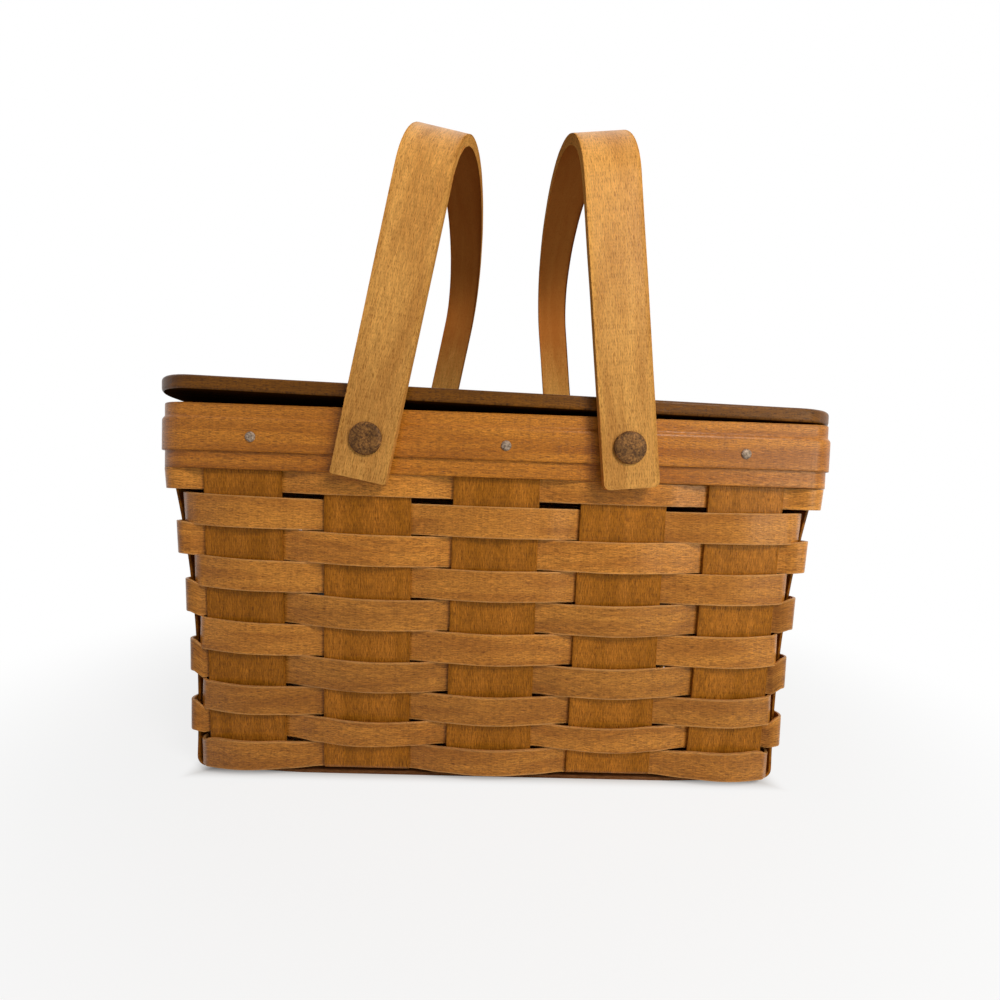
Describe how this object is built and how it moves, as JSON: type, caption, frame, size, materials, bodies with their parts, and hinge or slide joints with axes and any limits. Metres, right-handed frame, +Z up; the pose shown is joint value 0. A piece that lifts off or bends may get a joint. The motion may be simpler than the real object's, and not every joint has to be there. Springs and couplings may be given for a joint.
{
  "type": "picnic basket",
  "caption": "Rectangular woven splint picnic basket with flared rim bands, riveted swing handles and a hinged board lid.",
  "frame": {"origin": "middle of the footprint, on the surface the basket stands on", "axes": "+X to the right along the basket's length, +Y to the hinged back, +Z up"},
  "size_m": [0.311, 0.2056, 0.3206],
  "materials": {
    "upright_splint": "oiled, with short dark pore flecks along the grain",
    "weaver_splint": "oiled, with short dark pore flecks along the grain",
    "rim_splint": "oiled, worn at the edges",
    "handle_wood": "oiled, smooth from use",
    "lid_board": "dark stained",
    "old_copper": "brown patina",
    "tack_steel": "dull",
    "hinge_brass": "dull"
  },
  "bodies": {
    "basket": {"cross_splint_1": "upright_splint", "cross_splint_2": "upright_splint", "cross_splint_3": "upright_splint", "cross_splint_4": "upright_splint", "cross_splint_5": "upright_splint", "long_splint_1": "upright_splint", "long_splint_2": "upright_splint", "long_splint_3": "upright_splint", "weaver_row_01": "weaver_splint", "weaver_row_02": "weaver_splint", "weaver_row_03": "weaver_splint", "weaver_row_04": "weaver_splint", "weaver_row_05": "weaver_splint", "weaver_row_06": "weaver_splint", "weaver_row_07": "weaver_splint", "weaver_row_08": "weaver_splint", "weaver_row_09": "weaver_splint", "weaver_row_10": "weaver_splint", "outer_rim_band": "rim_splint", "rim_strip": "rim_splint", "inner_rim_band": "rim_splint", "bottom_runner_front": "upright_splint", "bottom_runner_back": "upright_splint", "tack_front_1": "tack_steel", "tack_front_3": "tack_steel", "tack_front_5": "tack_steel", "tack_back_1": "tack_steel", "tack_back_3": "tack_steel", "tack_back_5": "tack_steel", "tack_left_1": "tack_steel", "tack_left_2": "tack_steel", "tack_left_3": "tack_steel", "tack_right_1": "tack_steel", "tack_right_2": "tack_steel", "tack_right_3": "tack_steel", "rivet_front_left": "old_copper", "rivet_front_right": "old_copper", "rivet_back_left": "old_copper", "rivet_back_right": "old_copper", "rivet_burr_front_left": "old_copper", "rivet_burr_front_right": "old_copper", "rivet_burr_back_left": "old_copper", "rivet_burr_back_right": "old_copper", "handle_spacer_front_left": "old_copper", "handle_spacer_front_right": "old_copper", "handle_spacer_back_left": "old_copper", "handle_spacer_back_right": "old_copper", "lid_rail": "lid_board", "hinge_rail_leaf_left": "hinge_brass", "hinge_rail_leaf_right": "hinge_brass", "hinge_pin_left": "hinge_brass", "hinge_pin_right": "hinge_brass"},
    "left_handle": {"left_handle": "handle_wood"},
    "right_handle": {"right_handle": "handle_wood"},
    "lid": {"lid": "lid_board", "hinge_lid_leaf_left": "hinge_brass", "hinge_lid_leaf_right": "hinge_brass"}
  },
  "joints": [
    {"name": "left_handle_swing", "type": "hinge", "parent": "basket", "child": "left_handle", "pos_m": [-0.0558, 0, 0.1533], "axis": [0, -1, 0], "range_deg": [-4, 147]},
    {"name": "right_handle_swing", "type": "hinge", "parent": "basket", "child": "right_handle", "pos_m": [0.0558, 0, 0.1533], "axis": [0, 1, 0], "range_deg": [-9, 142]},
    {"name": "lid_hinge", "type": "hinge", "parent": "basket", "child": "lid", "pos_m": [0, 0.0608, 0.17547], "axis": [-1, 0, 0], "range_deg": [0, 50]}
  ]
}
